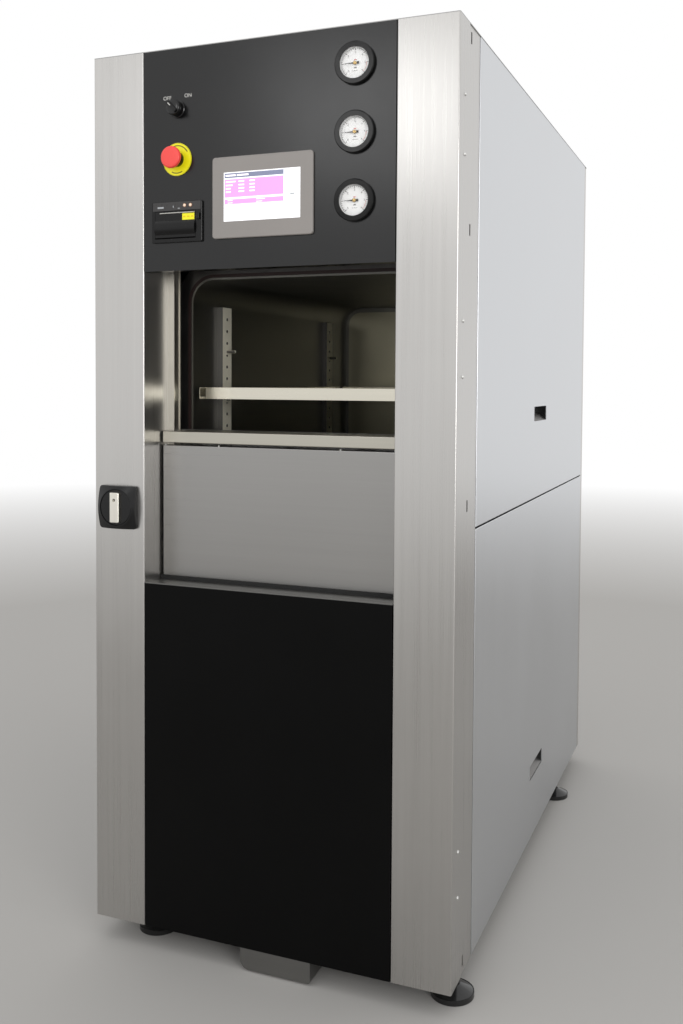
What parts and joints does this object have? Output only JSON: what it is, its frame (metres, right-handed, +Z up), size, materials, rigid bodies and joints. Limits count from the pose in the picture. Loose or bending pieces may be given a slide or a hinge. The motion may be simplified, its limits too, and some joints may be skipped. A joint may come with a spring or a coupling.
{
  "type": "autoclave",
  "caption": "Floor-standing steam steriliser cabinet with a vertical sliding door, a shelf in a rectangular chamber and a black control panel with gauges.",
  "frame": {"origin": "centre of the bounding box on the floor plane", "axes": "+Z up, -Y towards the user who faces the door, +X to that user's right"},
  "size_m": [0.7412, 1.368, 1.704],
  "materials": {
    "stainless": "brushed, fine grain",
    "chamber_steel": "satin",
    "frame_steel": "mill finish",
    "panel_black": "gloss powder coat",
    "foot_black": "gloss",
    "zinc_steel": "zinc plated",
    "wiper_rubber": "matt",
    "seal_silicone": "matt",
    "plastic_black": "satin",
    "plastic_grey": "satin",
    "display": "gloss",
    "stop_red": "gloss",
    "legend_yellow": "gloss",
    "dial_white": "matt",
    "lens_glass": "clear",
    "needle_black": "matt",
    "grip_metal": "satin",
    "bezel_chrome": "polished",
    "paper_white": "matt, stands for thermal paper",
    "brass": "machined",
    "boiler_jacket": "stucco foil",
    "pump_paint": "satin",
    "cabinet_paint": "textured",
    "barrel_aluminium": "anodised"
  },
  "bodies": {
    "cabinet": {"welded_frame": "frame_steel", "equipment_tray": "frame_steel", "corner_posts": "stainless", "cross_members": "frame_steel", "left_pillar_cover": "stainless", "right_pillar_cover": "stainless", "control_panel": "panel_black", "lower_front_panel": "panel_black", "door_sill": "stainless", "door_wiper": "wiper_rubber", "top_panel": "stainless", "upper_side_panels": "stainless", "lower_side_panels": "stainless", "finger_pulls": "stainless", "rear_panel": "stainless", "drain_trough": "stainless", "foot_pads": "foot_black", "foot_studs": "zinc_steel", "cover_screws": "zinc_steel", "chamber_flange": "chamber_steel", "door_seal": "seal_silicone", "chamber_shell": "chamber_steel", "chamber_baffle": "chamber_steel", "steam_jacket": "frame_steel", "shelf_uprights": "chamber_steel", "shelf_runners": "chamber_steel", "door_guides": "frame_steel", "lift_cylinders": "barrel_aluminium", "steam_generator": "boiler_jacket", "vacuum_pump": "pump_paint", "pipework": "frame_steel", "safety_valve": "brass", "control_cabinet": "cabinet_paint", "switch_body": "bezel_chrome", "stop_legend": "legend_yellow", "stop_body": "plastic_black", "screen_bezel": "plastic_grey", "screen_glass": "display", "printer_body": "plastic_black", "gauge_cases": "plastic_black", "gauge_dials": "dial_white", "gauge_lenses": "lens_glass", "isolator_plate": "plastic_black"},
    "door": {"door_plate": "frame_steel", "door_skin": "stainless", "door_head_rail": "stainless", "door_screws": "zinc_steel"},
    "sliding_shelf": {"shelf": "chamber_steel"},
    "power_selector": {"power_knob": "plastic_black"},
    "stop_plunger": {"stop_stem": "plastic_black"},
    "stop_button": {"stop_head": "stop_red"},
    "isolator_handle": {"isolator_dish": "plastic_black", "isolator_grip": "grip_metal"},
    "paper_cover": {"printer_cover": "plastic_black"},
    "chart_roll": {"paper_roll": "paper_white"},
    "cover_release": {"printer_release": "plastic_black"},
    "needle_upper": {"upper_gauge_needle": "needle_black"},
    "needle_middle": {"middle_gauge_needle": "needle_black"},
    "needle_lower": {"lower_gauge_needle": "needle_black"}
  },
  "joints": [
    {"name": "door_slide", "type": "slide", "parent": "cabinet", "child": "door", "axis": [0, 0, 1], "range_m": [-0.252, 0.329]},
    {"name": "shelf_slide", "type": "slide", "parent": "cabinet", "child": "sliding_shelf", "axis": [0, 1, 0], "range_m": [-0.35, 0]},
    {"name": "power_knob_turn", "type": "hinge", "parent": "cabinet", "child": "power_selector", "pos_m": [-0.177, -0.665, 1.592], "axis": [0, 1, 0], "range_deg": [0, 90]},
    {"name": "stop_press", "type": "slide", "parent": "cabinet", "child": "stop_plunger", "axis": [0, 1, 0], "range_m": [0, 0.006], "stiffness_N_per_m": 1500},
    {"name": "stop_twist", "type": "hinge", "parent": "stop_plunger", "child": "stop_button", "pos_m": [-0.177, -0.676, 1.5], "axis": [0, 1, 0], "range_deg": [0, 30], "stiffness_Nm_per_rad": 0.3},
    {"name": "isolator_turn", "type": "hinge", "parent": "cabinet", "child": "isolator_handle", "pos_m": [-0.305, -0.668, 0.85], "axis": [0, 1, 0], "range_deg": [-90, 0]},
    {"name": "paper_cover_open", "type": "hinge", "parent": "cabinet", "child": "paper_cover", "pos_m": [-0.179, -0.6575, 1.3595], "axis": [1, 0, 0], "range_deg": [0, 75]},
    {"name": "cover_release_press", "type": "slide", "parent": "cabinet", "child": "cover_release", "axis": [0, 1, 0], "range_m": [0, 0.0015], "stiffness_N_per_m": 600},
    {"name": "chart_roll_spin", "type": "hinge", "parent": "cabinet", "child": "chart_roll", "pos_m": [-0.179, -0.6168, 1.3743], "axis": [1, 0, 0], "continuous": true},
    {"name": "upper_needle_turn", "type": "hinge", "parent": "cabinet", "child": "needle_upper", "pos_m": [0.175, -0.6592, 1.6375], "axis": [0, 1, 0], "range_deg": [-45, 225]},
    {"name": "middle_needle_turn", "type": "hinge", "parent": "cabinet", "child": "needle_middle", "pos_m": [0.175, -0.6592, 1.5207], "axis": [0, 1, 0], "range_deg": [-45, 225]},
    {"name": "lower_needle_turn", "type": "hinge", "parent": "cabinet", "child": "needle_lower", "pos_m": [0.175, -0.6592, 1.4039], "axis": [0, 1, 0], "range_deg": [-45, 225]}
  ]
}
